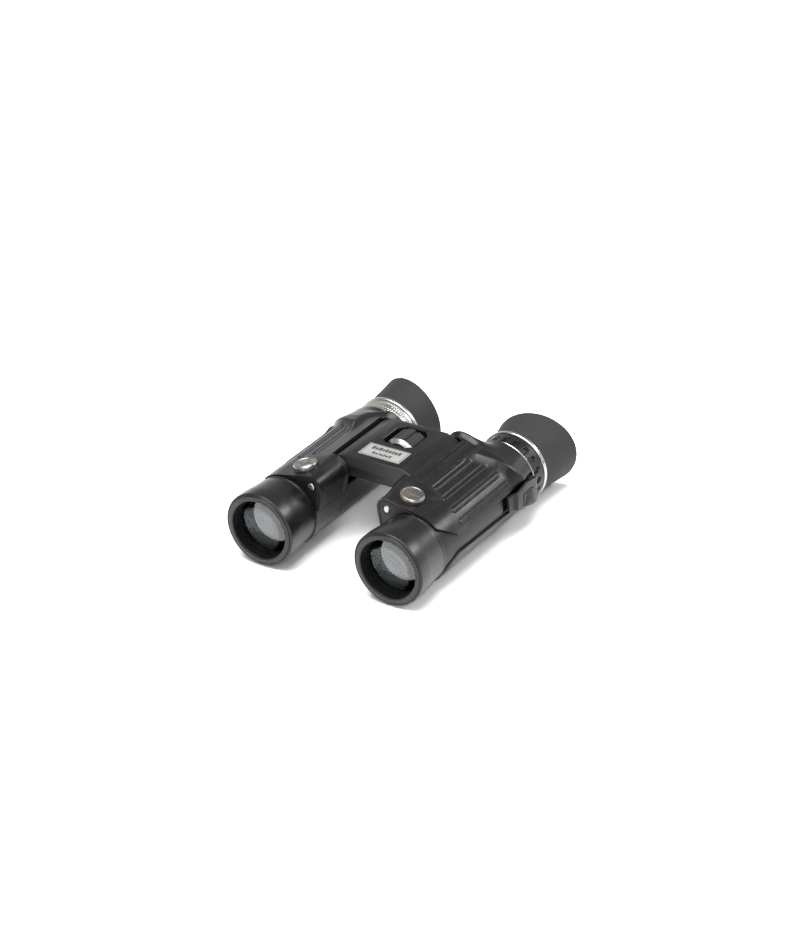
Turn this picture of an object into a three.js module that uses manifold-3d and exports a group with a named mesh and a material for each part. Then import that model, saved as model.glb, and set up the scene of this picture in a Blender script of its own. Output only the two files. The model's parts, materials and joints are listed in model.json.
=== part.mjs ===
// Compact roof-prism binoculars with two hinges, as an assembly of separate pieces.
//
// Millimetres, +Z up. Y runs from the objectives to the eyepieces. Until the last lines the origin lies
// midway between the two barrel axes, level with them and in the plane of the objective rims. Left and
// right are the user's: the left barrel is at +X and carries the diopter ring. Each barrel is drawn in
// its own frame, with its optical axis along Y and its outer side towards +X; the right one is mirrored.

import * as THREE from 'three';
import { mergeVertices } from 'three/addons/utils/BufferGeometryUtils.js';
import Module from 'manifold-3d';

const wasm = await Module();
wasm.setup();

// Driving dimensions
const AXIS_SPACING = 70; // between the optical axes, as opened
const HINGE_SPACING = 41.2; // between the two hinge axes
const HINGE_HEIGHT = 15.5; // of the hinge axes above the optical axes
const ARMOUR_RADIUS = 17.5; // outside of the armour round a barrel
const ARMOUR = 1.0; // thickness of the armour covers
const GAP = 0.3; // between pieces that touch
const LUG_RADIUS = 5.4; // front hinge lug, over its armour
const SHOULDER_RADIUS = 7.24; // the armour's raised edge beside the bridge, about the hinge axis
const KNUCKLE_RADIUS = 5.2; // the bridge's own hinge knuckle
const KNUCKLE_CLEARANCE = 5.7; // what the barrel is cut back to round that knuckle
const BORE_RADIUS = 14.5; // inside of a barrel
const HOOD_RADIUS = 18.15; // objective hood
const EYECUP_RADIUS = 19.2; // rim of an eyecup

// Stations along Y
const HOOD_END = 21.5;
const LUG_FRONT = 22.8;
const BRIDGE_FRONT = 43.6;
const BRIDGE_REAR = 83.4;
const HUMP_FRONT = 77;
const BARREL_END = 97.5;
const COLLAR_END = 107;
const EYECUP_FRONT = 109.7;
const EYECUP_REACH = 129.5; // of the eyecup's rim, on average

// Bridge and focus drive
const BRIDGE_TOP = 24.1;
const BRIDGE_UNDERSIDE = 13.1;
const BRIDGE_FLAT = 14.8; // half width of the bridge's flat top
const SPINDLE_HEIGHT = 16.5;
const SPINDLE_RADIUS = 1.5;
const WHEEL_RADIUS = 8.9;
const WHEEL_FRONT = 66;
const WHEEL_REAR = 77;
const ROD_RADIUS = 1.2;
const PIN_RADIUS = 2.4;

const HINGE_X = HINGE_SPACING / 2;
const HINGE_IN_BARREL = HINGE_X - AXIS_SPACING / 2; // a barrel's hinge, seen from its own axis
const CHASSIS_RADIUS = ARMOUR_RADIUS - ARMOUR - GAP;
const FAR = 60; // more than any piece reaches from its own axis

// Finishes
const finish = (color, roughness, metalness = 0) =>
  new THREE.MeshStandardMaterial({ color, roughness, metalness });
const BLACK_ARMOUR = finish('#26262a', 0.5);
const BLACK_METAL = finish('#2b2b2e', 0.35, 0.6);
const BLACK_RUBBER = finish('#2c2a2a', 0.85);
const DARK_PLASTIC = finish('#1b1b1d', 0.6);
const SILVER = finish('#d6d6d8', 0.2, 1);
const SATIN_SILVER = finish('#a9a9a6', 0.35, 1);
const STEEL = finish('#9a9a9c', 0.3, 1);
const BRASS = finish('#a8894f', 0.35, 1);
const GLASS = finish('#5c6670', 0.05);

// A closed geometry becomes a solid that can be joined and cut.
function solidOf(geometry) {
  const bare = geometry.index ? geometry.toNonIndexed() : geometry;
  bare.deleteAttribute('normal');
  bare.deleteAttribute('uv');
  const merged = mergeVertices(bare, 1e-4);
  const vertProperties = merged.attributes.position.array;
  const triVerts = new Uint32Array(merged.index.array);
  return new wasm.Manifold(new wasm.Mesh({ numProp: 3, vertProperties, triVerts }));
}

function geometryOf(solid) {
  const mesh = solid.getMesh();
  const geometry = new THREE.BufferGeometry();
  geometry.setAttribute('position', new THREE.BufferAttribute(mesh.vertProperties, 3));
  geometry.setIndex(new THREE.BufferAttribute(mesh.triVerts, 1));
  geometry.computeVertexNormals();
  return geometry;
}

const join = (first, ...others) => others.reduce((all, one) => all.add(one), first);
const cut = (first, ...others) => others.reduce((rest, one) => rest.subtract(one), first);
const common = (first, ...others) => others.reduce((rest, one) => rest.intersect(one), first);

// Outlines
const vectors = (points) => points.map(([a, b]) => new THREE.Vector2(a, b));
const polygon = (points) => new THREE.Shape(vectors(points));
const rectangle = (a0, b0, a1, b1) => polygon([[a0, b0], [a1, b0], [a1, b1], [a0, b1]]);

function disc(a, b, radius) {
  const shape = new THREE.Shape();
  shape.absarc(a, b, radius, 0, 2 * Math.PI);
  return shape;
}

// Extrusions: along Y the outline is drawn in X and Z, along X in Y and Z, along Z in X and Y.
function extruded(shape, length, steps) {
  return new THREE.ExtrudeGeometry(shape, { depth: length, bevelEnabled: false, curveSegments: steps });
}

function alongY(shape, from, to, steps = 8) {
  const geometry = extruded(shape, to - from, steps).rotateX(Math.PI / 2);
  return solidOf(geometry.translate(0, to, 0));
}

function alongX(shape, from, to, steps = 8) {
  const [x, y, z] = [[1, 0, 0], [0, 1, 0], [0, 0, 1]].map((axis) => new THREE.Vector3(...axis));
  const turn = new THREE.Matrix4().makeBasis(y, z, x);
  return solidOf(extruded(shape, to - from, steps).applyMatrix4(turn).translate(from, 0, 0));
}

const alongZ = (shape, from, to, steps = 8) =>
  solidOf(extruded(shape, to - from, steps).translate(0, 0, from));

const rod = (x, z, radius, from, to, steps = 6) => alongY(disc(x, z, radius), from, to, steps);

const tube = (x, z, outer, inner, from, to, steps = 6) =>
  cut(rod(x, z, outer, from, to, steps), rod(x, z, inner, from - 1, to + 1, steps));

// A solid of revolution about the optical axis, from a closed outline of [radius, y] corners.
function turned(corners, segments = 24) {
  const points = vectors(corners);
  if (THREE.ShapeUtils.area(points) < 0) points.reverse();
  const touchesAxis = corners.some(([radius]) => radius === 0);
  if (!touchesAxis) points.push(points[0].clone());
  return solidOf(new THREE.LatheGeometry(points, segments));
}

const band = (outer, inner, from, to, segments) =>
  turned([[inner, from], [outer, from], [outer, to], [inner, to]], segments);

// A lens: front and rear are where its faces meet the axis, and each sag is how far a face falls back.
function lens(radius, front, rear, frontSag, rearSag) {
  const shares = [0, 0.5, 1];
  const frontFace = shares.map((share) => [radius * share, front + frontSag * share * share]);
  const rearFace = shares.map((share) => [radius * share, rear - rearSag * share * share]);
  return turned([...frontFace, ...rearFace.reverse()], 20);
}

// The outline round a barrel and its hinge lug: two circles and the two lines that touch both.
function barrelAndLug(radius, lugRadius) {
  const heading = Math.atan2(HINGE_HEIGHT, HINGE_IN_BARREL);
  const distance = Math.hypot(HINGE_HEIGHT, HINGE_IN_BARREL);
  const spread = Math.acos((radius - lugRadius) / distance);
  const shape = new THREE.Shape();
  shape.absarc(0, 0, radius, heading + spread, heading - spread + 2 * Math.PI);
  shape.absarc(HINGE_IN_BARREL, HINGE_HEIGHT, lugRadius, heading - spread, heading + spread);
  return shape;
}

const lugSection = (radius, lugRadius, from, to) => alongY(barrelAndLug(radius, lugRadius), from, to);

// ---- Barrel pieces, in the barrel's own frame ----

const HOOD_BORE = 14.3;
const LENS_SEAT = 11.1;

function objectiveHood() {
  return turned([
    [HOOD_BORE + 0.2, 0.5], [15, 0], [17.2, 0], [17.9, 0.4], [HOOD_RADIUS, 1.3], [HOOD_RADIUS, 8.5],
    [17.6, 12], [17.06, 15], [16.8, 18], [17.05, HOOD_END], [15.3, HOOD_END], [15.3, LENS_SEAT + 1.4],
    [13.2, LENS_SEAT + 1.4], [13.2, LENS_SEAT], [HOOD_BORE, LENS_SEAT],
  ]);
}

const objectiveRetainer = () => band(HOOD_BORE - GAP, 12.9, 5.2, 6.1);
const objectiveLens = () => lens(HOOD_BORE - GAP, 6, LENS_SEAT - 0.6, 1.2, 0);

const FOCUS_CELL_FRONT = 30.2;
const FOCUS_ARM = 3; // thickness of the focus cell's arm along Y
const FOCUS_FORWARD = 0.9; // travel towards the objectives
const FOCUS_BACK = 3.6; // travel towards the eyepieces
const FRONT_PIN_START = 37.8;
const REAR_PIN_START = 74.4;
const REAR_PIN_END = 89.5;
const REAR_LUG_END = 91;
const NECK_RADIUS = 14.4;
const NECK_END = 112;

// The slot that the focus cell's arm passes through, from the lug's cavity to the barrel's bore.
function focusSlot(width, from, to) {
  const length = Math.hypot(HINGE_HEIGHT, HINGE_IN_BARREL);
  const outline = rectangle(BORE_RADIUS - 2, -width / 2, length, width / 2);
  const slot = extruded(outline, to - from, 1).rotateX(Math.PI / 2).translate(0, to, 0);
  return solidOf(slot.rotateY(-Math.atan2(HINGE_HEIGHT, HINGE_IN_BARREL)));
}

function barrelHousing() {
  const outside = turned([
    [0, LENS_SEAT + 1.8], [15, LENS_SEAT + 1.8], [15, HOOD_END + GAP], [CHASSIS_RADIUS, HOOD_END + GAP],
    [CHASSIS_RADIUS, BARREL_END], [NECK_RADIUS, BARREL_END], [NECK_RADIUS, NECK_END], [0, NECK_END],
  ]);
  const lugRadius = LUG_RADIUS - ARMOUR - GAP;
  const frontLug = lugSection(CHASSIS_RADIUS, lugRadius, LUG_FRONT, BRIDGE_FRONT - 0.8);
  const rearLug = lugSection(CHASSIS_RADIUS, lugRadius, BRIDGE_REAR + 0.6, REAR_LUG_END);
  const hinge = (radius, from, to) => rod(HINGE_IN_BARREL, HINGE_HEIGHT, radius, from, to);
  const cavityFront = FOCUS_CELL_FRONT - FOCUS_FORWARD - 0.4;
  const cavityRear = FOCUS_CELL_FRONT + FOCUS_ARM + FOCUS_BACK + 0.4;
  return cut(
    join(outside, frontLug, rearLug),
    turned([[0, 0], [13.4, 0], [13.4, HOOD_END], [BORE_RADIUS, HOOD_END + 1], [BORE_RADIUS, BARREL_END - 6],
      [12.4, BARREL_END - 6], [12.4, NECK_END + 1], [0, NECK_END + 1]]),
    hinge(KNUCKLE_CLEARANCE, BRIDGE_FRONT - 0.8, BRIDGE_REAR + 0.6),
    hinge(2.05, LUG_FRONT - 1, cavityFront - 0.8),
    hinge(3.4, cavityFront, cavityRear),
    hinge(ROD_RADIUS + GAP, cavityFront, FRONT_PIN_START),
    hinge(PIN_RADIUS + GAP, FRONT_PIN_START - GAP, BRIDGE_FRONT),
    hinge(PIN_RADIUS + GAP, BRIDGE_REAR, REAR_PIN_END + GAP),
    focusSlot(5, cavityFront, cavityRear),
  );
}

// How far out the armour lies at an angle above the outer side: round, then flat up to the shoulder.
function armourReach(angle) {
  const heading = Math.atan2(HINGE_HEIGHT, HINGE_IN_BARREL);
  const spread = Math.acos((ARMOUR_RADIUS - SHOULDER_RADIUS) / Math.hypot(HINGE_HEIGHT, HINGE_IN_BARREL));
  const flatHeading = heading - spread;
  return angle > flatHeading ? ARMOUR_RADIUS / Math.cos(angle - flatHeading) : ARMOUR_RADIUS;
}

// Grip ribs: angle above the outer side, in degrees, and where each starts and ends.
const GRIP_RIBS = [[96, 44, 73.4], [75, 41, 76], [53.5, 38.3, 77], [32.5, 37.9, 79.2]];
const RIB_WIDTH = 2.2;
const RIB_HEIGHT = 0.5;

function gripRib([degrees, from, to]) {
  const angle = THREE.MathUtils.degToRad(degrees);
  const reach = armourReach(angle);
  const outline = rectangle(reach - ARMOUR / 2, -RIB_WIDTH / 2, reach + RIB_HEIGHT, RIB_WIDTH / 2);
  const bar = extruded(outline, to - from, 1).rotateX(Math.PI / 2).translate(0, to, 0);
  return solidOf(bar.rotateY(-angle));
}

// The armour's full body, thinner by inset: lug section, shoulder beside the bridge, and rear hump.
function armourBody(inset, overrun) {
  const radius = ARMOUR_RADIUS - inset;
  const shoulder = SHOULDER_RADIUS - inset;
  const edge = HINGE_IN_BARREL + 2.2 + inset;
  const front = lugSection(radius, LUG_RADIUS - inset, LUG_FRONT - overrun, BRIDGE_FRONT - 0.6);
  const beside = common(
    lugSection(radius, shoulder, BRIDGE_FRONT - 0.7, BRIDGE_REAR + 0.7),
    alongY(rectangle(edge, 0, FAR, FAR), BRIDGE_FRONT - 1, BRIDGE_REAR + 1),
  );
  const barrel = rod(0, 0, radius, LUG_FRONT - overrun, BARREL_END - 0.3 + overrun, 12);
  const rear = lugSection(radius, shoulder, BRIDGE_REAR + 0.6, REAR_LUG_END + 1.5 - inset);
  return join(front, beside, barrel, rear);
}

// The hump behind the grip ribs. Before the bridge's end it keeps to the outer side of the barrel.
function hump() {
  const ring = turned([
    [0, HUMP_FRONT - 0.5], [ARMOUR_RADIUS - 0.5, HUMP_FRONT - 0.5], [18.3, 79.4], [19, 81.4], [19.5, 83.9],
    [19.3, 86], [18.6, 89], [18.1, 93], [17.6, BARREL_END - 0.3], [0, BARREL_END - 0.3],
  ]);
  const outerSide = alongY(rectangle(-7, -9, FAR, FAR), HUMP_FRONT - 1, BRIDGE_REAR + 0.7);
  const behind = alongY(rectangle(-FAR, -9, FAR, FAR), BRIDGE_REAR + 0.6, BARREL_END);
  return common(ring, join(outerSide, behind));
}

// Strap lug: its outline seen from the side, and its button's, as [y, z] corners.
const STRAP_LUG = [[73.4, 4.8], [74, -2.5], [80, -4.2], [92.8, -7], [97.6, -7], [98.4, -4.2], [96.4, 5.6],
  [87, 7], [78.6, 4.7]];
const BUTTON = [[83.8, -3.6], [92.2, -5.2], [92.2, 1.6], [90.6, 2.5], [83.8, 2.2]];
const STRAP_LUG_REACH = 20;

// The same outline with every side moved out by about the margin, from the outline's middle.
function grown(corners, margin) {
  const middle = [0, 1].map((k) => corners.reduce((sum, corner) => sum + corner[k], 0) / corners.length);
  return corners.map((corner) => {
    const away = [corner[0] - middle[0], corner[1] - middle[1]];
    const share = 1 + (1.6 * margin) / Math.hypot(...away);
    return [middle[0] + away[0] * share, middle[1] + away[1] * share];
  });
}

const strapLugBlock = (margin, from, to) => alongX(polygon(grown(STRAP_LUG, margin)), from, to);

// Everything above the top cover's lower edge. The edge sweeps down and back on the outer side; on the
// inner side it rises to the knuckle's cut-out beside the bridge.
function aboveSeam() {
  const front = LUG_FRONT - 2;
  const back = FAR * 2;
  const outer = [[front, 12.9], [34, 5.3], [73, 5.3], [80, 5.9], [95, 7], [back, 7], [back, FAR],
    [front, FAR]];
  const inner = [[front, 4], [BRIDGE_FRONT - 0.6, 4], [BRIDGE_FRONT - 0.6, 10.4], [BRIDGE_REAR + 0.6, 10.4],
    [BRIDGE_REAR + 0.6, 4], [back, 4], [back, FAR], [front, FAR]];
  return join(alongX(polygon(outer), 0, FAR), alongX(polygon(inner), -FAR, 0.01));
}

// Everything below the bottom cover's upper edge, which runs down and back on the outer side.
function belowSeam() {
  const front = LUG_FRONT - 2;
  const back = FAR * 2;
  const outer = [[front, -FAR], [back, -FAR], [back, -4.6], [80, -4.6], [34, -3], [front, -11.2]];
  const inner = [[front, -FAR], [back, -FAR], [back, 3.4], [BRIDGE_REAR + 0.2, 3.4],
    [BRIDGE_REAR + 0.2, 11], [BRIDGE_FRONT - 0.2, 11], [BRIDGE_FRONT - 0.2, 3.4], [front, 3.4]];
  return join(alongX(polygon(outer), 0, FAR), alongX(polygon(inner), -FAR, 0.01));
}

function armourShell() {
  const hinge = rod(HINGE_IN_BARREL, HINGE_HEIGHT, KNUCKLE_CLEARANCE, BRIDGE_FRONT - 0.7, BRIDGE_REAR + 0.6);
  const outside = join(armourBody(0, 0), hump(), ...GRIP_RIBS.map(gripRib));
  return cut(outside, armourBody(ARMOUR, 1), hinge, strapLugBlock(GAP, 0, FAR));
}

const topCover = (shell) => common(shell, aboveSeam());
const bottomCover = (shell) => common(shell, belowSeam());

const hingeCap = () => rod(HINGE_IN_BARREL, HINGE_HEIGHT, 1.75, LUG_FRONT - 0.4, 28);

const MEDALLION_RADIUS = 5.75;
const MEDALLION_THICKNESS = 1.5;

// The medallion lies on the armour's flat, over the front lug.
function medallion() {
  const heading = Math.atan2(HINGE_HEIGHT, HINGE_IN_BARREL);
  const spread = Math.acos((ARMOUR_RADIUS - LUG_RADIUS) / Math.hypot(HINGE_HEIGHT, HINGE_IN_BARREL));
  const tilt = Math.PI / 2 - (heading - spread);
  const plate = new THREE.CylinderGeometry(MEDALLION_RADIUS - 0.5, MEDALLION_RADIUS, MEDALLION_THICKNESS, 20);
  const base = ARMOUR_RADIUS + GAP + MEDALLION_THICKNESS / 2;
  return solidOf(plate.rotateX(Math.PI / 2).translate(-10, 31.2, base).rotateY(tilt));
}

const PRISM_START = 50;

// Roof prism pair: a half-penta prism and a roof prism, drawn from the side.
function halfPrism() {
  const outline = [[0, 6], [0, -6], [11, -10.3], [16.3, -10.3]].map(([y, z]) => [PRISM_START + 2 + y, z]);
  return alongX(polygon(outline), -6, 6);
}

function roofPrism() {
  const outline = [[1.4, 5.9], [17.6, -10.3], [18.6, -10.3], [18.6, 10.3], [12, 10.3]];
  const block = alongX(polygon(outline.map(([y, z]) => [PRISM_START + 2 + y, z])), -6, 6);
  const roof = alongY(polygon([[-6.5, -20], [6.5, -20], [6.5, 7.5], [3, 11], [-3, 11], [-6.5, 7.5]]), 40, 90);
  return common(block, roof);
}

function prismCage() {
  const shell = tube(0, 0, BORE_RADIUS - GAP, 12.6, PRISM_START, PRISM_START + 22, 12);
  const stop = tube(0, 0, 13.5, 6, PRISM_START, PRISM_START + 1.4, 12);
  return join(shell, stop);
}

function focusCell() {
  const outer = BORE_RADIUS - GAP;
  const ring = band(outer, 11.8, FOCUS_CELL_FRONT, FOCUS_CELL_FRONT + 9);
  const arm = focusSlot(3.6, FOCUS_CELL_FRONT, FOCUS_CELL_FRONT + FOCUS_ARM);
  const rodHole = rod(HINGE_IN_BARREL, HINGE_HEIGHT, ROD_RADIUS + GAP, 20, 50);
  const eye = rod(HINGE_IN_BARREL, HINGE_HEIGHT, 3, FOCUS_CELL_FRONT, FOCUS_CELL_FRONT + FOCUS_ARM);
  const bore = rod(0, 0, 12, 20, 50, 12);
  return cut(join(ring, cut(join(arm, eye), bore)), rodHole);
}

const focusLens = () => lens(11.5, FOCUS_CELL_FRONT + 3.5, FOCUS_CELL_FRONT + 6.5, 0, -1.2);

const ocularCell = () => join(
  band(12.1, 10.4, 92, NECK_END - 0.6),
  band(12.1, 9.6, 97.8, 98.8),
);
const fieldLens = () => lens(10.1, 93, 97, 1.2, 0.2);
const eyeLens = () => lens(10.1, 105.5, 110.8, 0.8, 1.0);

// Rings round the eyepiece's neck.
const NECK_CLEAR = NECK_RADIUS + GAP;
const TRIM_RADIUS = 17.8;
const frontTrimRing = () => turned([[NECK_CLEAR, 97.8], [17.5, 97.8], [TRIM_RADIUS, 98.1], [TRIM_RADIUS, 98.4],
  [NECK_CLEAR, 98.4]]);
const rearTrimRing = () => turned([[NECK_CLEAR, COLLAR_END + GAP], [17.4, COLLAR_END + GAP], [17.7, 107.8],
  [17.7, 109.1], [17.2, EYECUP_FRONT - GAP], [NECK_CLEAR, EYECUP_FRONT - GAP]]);
const eyepieceBand = () => turned([
  [NECK_CLEAR, 98.7], [16.4, 98.7], [17, COLLAR_END], [NECK_CLEAR, COLLAR_END],
]);

const DIOPTER_RADIUS = 17.2;
const DIOPTER_POCKETS = 20;

function diopterRing() {
  const ring = turned([[NECK_CLEAR, 98.7], [DIOPTER_RADIUS - 0.3, 98.7], [DIOPTER_RADIUS, 99.2],
    [DIOPTER_RADIUS, COLLAR_END], [NECK_CLEAR, COLLAR_END]]);
  const pockets = Array.from({ length: DIOPTER_POCKETS }, (_, index) => {
    const outline = rectangle(98.4, -0.9, 103.6, 0.9);
    const pocket = alongX(outline, DIOPTER_RADIUS - 0.8, DIOPTER_RADIUS + 1);
    return pocket.rotate([0, (360 * index) / DIOPTER_POCKETS, 0]);
  });
  return cut(ring, ...pockets);
}

// The eyecup's rim lies in a slanted plane: furthest back on the outer side, nearest on the inner one.
const RIM_SLANT_OUT = 4.9;
const RIM_SLANT_UP = -2;

function eyecup() {
  const cup = turned([
    [NECK_CLEAR, EYECUP_FRONT], [16.8, EYECUP_FRONT], [17.4, 116], [18.1, 122], [18.7, 127],
    [EYECUP_RADIUS, 131], [EYECUP_RADIUS, 140], [EYECUP_RADIUS - 1.3, 140], [EYECUP_RADIUS - 1.3, 131],
    [16.9, 122], [15.4, 116.5], [12.6, 114], [12.6, NECK_END + 0.5], [NECK_CLEAR, NECK_END + 0.5],
  ], 30);
  const outward = new THREE.Vector3(-RIM_SLANT_OUT / EYECUP_RADIUS, 1, -RIM_SLANT_UP / EYECUP_RADIUS);
  const turn = new THREE.Quaternion().setFromUnitVectors(new THREE.Vector3(0, 1, 0), outward.normalize());
  const beyond = new THREE.BoxGeometry(FAR * 2, FAR, FAR * 2).translate(0, FAR / 2, 0);
  return cut(cup, solidOf(beyond.applyQuaternion(turn).translate(0, EYECUP_REACH, 0)));
}

function strapLug() {
  const block = strapLugBlock(0, 6, STRAP_LUG_REACH);
  const barrel = rod(0, 0, CHASSIS_RADIUS + GAP, 60, BARREL_END + 1, 12);
  const rings = rod(0, 0, TRIM_RADIUS + GAP, BARREL_END, 110, 12);
  const frontRamp = alongZ(polygon([[60, 60], [STRAP_LUG_REACH - 1.4, 60], [STRAP_LUG_REACH - 1.4, 79],
    [STRAP_LUG_REACH, 80.5], [FAR, 80.5], [FAR, 60]]), -FAR, FAR);
  const rearRamp = alongZ(polygon([[STRAP_LUG_REACH, 95.4], [STRAP_LUG_REACH - 1.6, 99], [FAR, 99],
    [FAR, 95.4]]), -FAR, FAR);
  const pocket = alongX(polygon(grown(BUTTON, GAP)), STRAP_LUG_REACH - 2.9, FAR);
  const clipSlot = alongZ(rectangle(17.2, 85, 19, 91), -FAR, -5.4);
  return cut(block, barrel, rings, frontRamp, rearRamp, pocket, clipSlot);
}

const BUTTON_PROUD = 0.2;
const BUTTON_THICKNESS = 1.6;

function releaseButton() {
  const top = STRAP_LUG_REACH + BUTTON_PROUD;
  const pad = alongX(polygon(BUTTON), top - BUTTON_THICKNESS, top);
  const ridges = [-3.6, -2, -0.4].map((z) => alongX(rectangle(85, z, 91.6, z + 0.7), top - 0.4, top + 0.3));
  return join(pad, ...ridges);
}

// ---- Bridge pieces, in the whole model's frame ----

function bridgeOutline() {
  const corner = new THREE.Vector2(BRIDGE_FLAT, BRIDGE_TOP);
  const hinge = new THREE.Vector2(HINGE_X, HINGE_HEIGHT);
  const reach = corner.distanceTo(hinge);
  const heading = Math.atan2(corner.y - hinge.y, corner.x - hinge.x);
  const top = heading - Math.acos(KNUCKLE_RADIUS / reach);
  const below = Math.asin((BRIDGE_UNDERSIDE - HINGE_HEIGHT) / KNUCKLE_RADIUS);
  const shape = new THREE.Shape();
  shape.absarc(HINGE_X, HINGE_HEIGHT, KNUCKLE_RADIUS, -Math.PI - below, top);
  shape.lineTo(BRIDGE_FLAT, BRIDGE_TOP);
  shape.lineTo(-BRIDGE_FLAT, BRIDGE_TOP);
  shape.absarc(-HINGE_X, HINGE_HEIGHT, KNUCKLE_RADIUS, Math.PI - top, 2 * Math.PI + below);
  return shape;
}

const POCKET = { side: 12.5, front: 47, rear: 79.5, top: 22 };
const FLOOR_PLATE = 0.8; // thickness of the bridge's bottom cover
const CARRIER_FRONT = 53.4;
const CARRIER_THICKNESS = 3;
const FRONT_PIN_END = 50;

// The octagonal window over the focus wheel.
const windowOutline = () => polygon([[-4.5, 61.8], [4.5, 61.8], [7.8, 64.6], [7.8, 77.2], [4.5, 81],
  [-4.5, 81], [-7.8, 77.2], [-7.8, 64.6]]);

const BADGE = { side: 11.1, front: 47.5, rear: 58.4, thickness: 0.6 };

function bridgeHousing() {
  const slotFront = CARRIER_FRONT - FOCUS_FORWARD - 1;
  const slotRear = CARRIER_FRONT + CARRIER_THICKNESS + FOCUS_BACK + 1;
  const { side, front, rear, top } = POCKET;
  const badgeFloor = BRIDGE_TOP - BADGE.thickness + 0.1 - GAP;
  const hinge = (sign, radius, from, to) => rod(sign * HINGE_X, HINGE_HEIGHT, radius, from, to);
  const cuts = [-1, 1].flatMap((sign) => [
    hinge(sign, PIN_RADIUS + GAP, BRIDGE_FRONT - 1, FRONT_PIN_END + GAP),
    hinge(sign, 3.4, slotFront, slotRear),
    hinge(sign, ROD_RADIUS + GAP, FRONT_PIN_END, slotRear),
    hinge(sign, PIN_RADIUS + GAP, REAR_PIN_START - GAP, BRIDGE_REAR + 1),
  ]);
  return cut(
    alongY(bridgeOutline(), BRIDGE_FRONT, BRIDGE_REAR),
    alongY(rectangle(-side, 0, side, top), front, rear),
    alongY(rectangle(-HINGE_X, 13.9, HINGE_X, 17.3), slotFront, slotRear),
    alongZ(windowOutline(), top - 1, FAR),
    alongZ(rectangle(-BADGE.side - GAP, BADGE.front - GAP, BADGE.side + GAP, BADGE.rear + GAP),
      badgeFloor, FAR),
    rod(0, SPINDLE_HEIGHT, SPINDLE_RADIUS + GAP, front - 2, rear + 2.5),
    ...cuts,
  );
}

function bridgeBottomCover() {
  const side = POCKET.side - GAP;
  const outline = rectangle(-side, POCKET.front + GAP, side, POCKET.rear - GAP);
  const opening = alongZ(rectangle(-8.7, 62.6, 8.7, 78.4), 0, FAR);
  return cut(alongZ(outline, BRIDGE_UNDERSIDE, BRIDGE_UNDERSIDE + FLOOR_PLATE), opening);
}

function badgePlate() {
  const outline = rectangle(-BADGE.side, BADGE.front, BADGE.side, BADGE.rear);
  return alongZ(outline, BRIDGE_TOP + 0.1 - BADGE.thickness, BRIDGE_TOP + 0.1);
}

const WHEEL_RIBS = 18;

function focusWheel() {
  const corners = Array.from({ length: WHEEL_RIBS * 4 }, (_, index) => {
    const angle = (2 * Math.PI * (index + 0.5)) / (WHEEL_RIBS * 4);
    const radius = index % 4 < 2 ? WHEEL_RADIUS : WHEEL_RADIUS - 0.7;
    return [radius * Math.cos(angle), SPINDLE_HEIGHT + radius * Math.sin(angle)];
  });
  const wheel = alongY(polygon(corners), WHEEL_FRONT, WHEEL_REAR);
  return cut(wheel, rod(0, SPINDLE_HEIGHT, SPINDLE_RADIUS + GAP, WHEEL_FRONT - 1, WHEEL_REAR + 1));
}

function focusWheelBezel() {
  const ring = turned([[5, 64], [7.2, 64], [8.8, 65.5], [8.8, WHEEL_FRONT - GAP], [5, WHEEL_FRONT - GAP]]);
  return ring.translate([0, 0, SPINDLE_HEIGHT]);
}

const focusSpindle = () => rod(0, SPINDLE_HEIGHT, SPINDLE_RADIUS, POCKET.front - 1.6, POCKET.rear + 2);

// The carrier is a nut on the spindle, with an arm to each focus rod.
function focusCarrier() {
  const rear = CARRIER_FRONT + CARRIER_THICKNESS;
  const arms = alongY(rectangle(-HINGE_X, 14.3, HINGE_X, 16.9), CARRIER_FRONT, rear);
  const boss = rod(0, SPINDLE_HEIGHT, 3.6, CARRIER_FRONT, rear);
  const below = alongY(
    rectangle(-5, 0, 5, BRIDGE_UNDERSIDE + FLOOR_PLATE + GAP), CARRIER_FRONT - 1, rear + 1,
  );
  const eyes = [-1, 1].map((sign) => rod(sign * HINGE_X, HINGE_HEIGHT, 3, CARRIER_FRONT, rear));
  const bores = [-1, 1].map((sign) => rod(sign * HINGE_X, HINGE_HEIGHT, ROD_RADIUS + GAP, 40, 70));
  const spindleBore = rod(0, SPINDLE_HEIGHT, SPINDLE_RADIUS + GAP, 40, 70);
  return cut(join(arms, boss, ...eyes), below, ...bores, spindleBore);
}

// ---- Assembly ----

const binoculars = new THREE.Group();

function addPiece(group, name, solid, material) {
  const mesh = new THREE.Mesh(geometryOf(solid), material);
  mesh.name = name;
  group.add(mesh);
}

function addBridge() {
  const add = (...piece) => addPiece(binoculars, ...piece);
  add('bridge_housing', bridgeHousing(), BLACK_ARMOUR);
  add('bridge_bottom_cover', bridgeBottomCover(), DARK_PLASTIC);
  add('badge_plate', badgePlate(), SATIN_SILVER);
  add('focus_wheel', focusWheel(), BLACK_RUBBER);
  add('focus_wheel_bezel', focusWheelBezel(), SILVER);
  add('focus_spindle', focusSpindle(), STEEL);
  add('focus_carrier', focusCarrier(), BRASS);
  for (const [side, x] of [['left', HINGE_X], ['right', -HINGE_X]]) {
    const rodEnd = CARRIER_FRONT + CARRIER_THICKNESS + 0.6;
    const frontPin = tube(x, HINGE_HEIGHT, PIN_RADIUS, ROD_RADIUS + GAP, FRONT_PIN_START, FRONT_PIN_END);
    add(`${side}_focus_rod`, rod(x, HINGE_HEIGHT, ROD_RADIUS, FOCUS_CELL_FRONT - 0.2, rodEnd), STEEL);
    add(`${side}_front_hinge_pin`, frontPin, STEEL);
    add(`${side}_rear_hinge_pin`, rod(x, HINGE_HEIGHT, PIN_RADIUS, REAR_PIN_START, REAR_PIN_END), STEEL);
  }
}

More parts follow.
